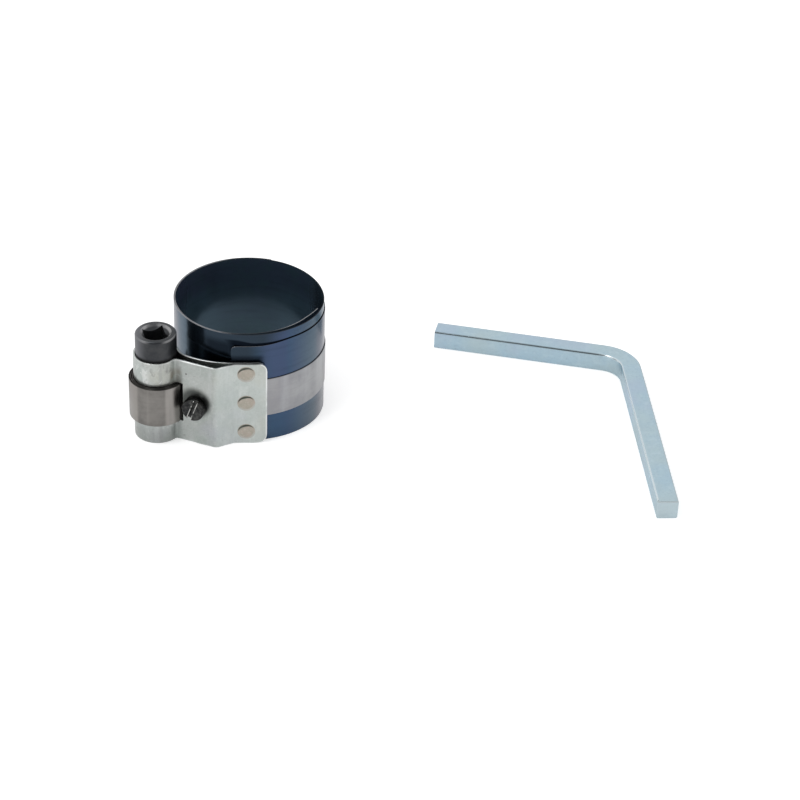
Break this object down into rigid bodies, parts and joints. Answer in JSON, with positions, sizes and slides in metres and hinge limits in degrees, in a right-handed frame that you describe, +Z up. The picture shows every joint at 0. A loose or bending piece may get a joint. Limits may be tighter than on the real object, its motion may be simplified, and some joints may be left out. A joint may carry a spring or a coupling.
{
  "type": "piston ring compressor",
  "caption": "Coiled spring-steel band drawn tight by a strap that winds onto a keyed spindle in a folded housing, with a bent square key, for fitting pistons.",
  "frame": {"origin": "on the ring axis, at the level of the band's lower edge and the floor", "axes": "+Z up along the ring axis, -Y towards the welded plate and the viewer, +X towards the loose key"},
  "size_m": [0.21, 0.1283, 0.049],
  "materials": {
    "blued_steel": "blued, glossy",
    "strap_steel": "bright rolled",
    "zinc_sheet": "zinc plated, satin",
    "black_steel": "black oxide",
    "weld_mark": "heat tinted",
    "key_steel": "zinc plated, blue passivated"
  },
  "bodies": {
    "ring": {"spring_band": "blued_steel", "tension_strap": "strap_steel", "housing": "zinc_sheet", "brake_nut": "zinc_sheet", "weld_upper": "weld_mark", "weld_middle": "weld_mark", "weld_lower": "weld_mark"},
    "winder": {"spindle": "black_steel", "strap_coil": "strap_steel"},
    "brake": {"brake_screw": "black_steel"},
    "key": {"square_key": "key_steel"}
  },
  "joints": [
    {"name": "spindle_turn", "type": "hinge", "parent": "ring", "child": "winder", "pos_m": [-0.0361, -0.02318, 0], "axis": [0, 0, 1], "range_deg": [-50, 960]},
    {"name": "brake_turn", "type": "hinge", "parent": "ring", "child": "brake", "pos_m": [-0.02073, -0.0321, 0.01737], "axis": [-0.4131, -0.9107, 0], "range_deg": [-45, 360]},
    {"name": "key_lift", "type": "slide", "parent": "ring", "child": "key", "axis": [0, 0, 1], "range_m": [0, 0.06]}
  ]
}
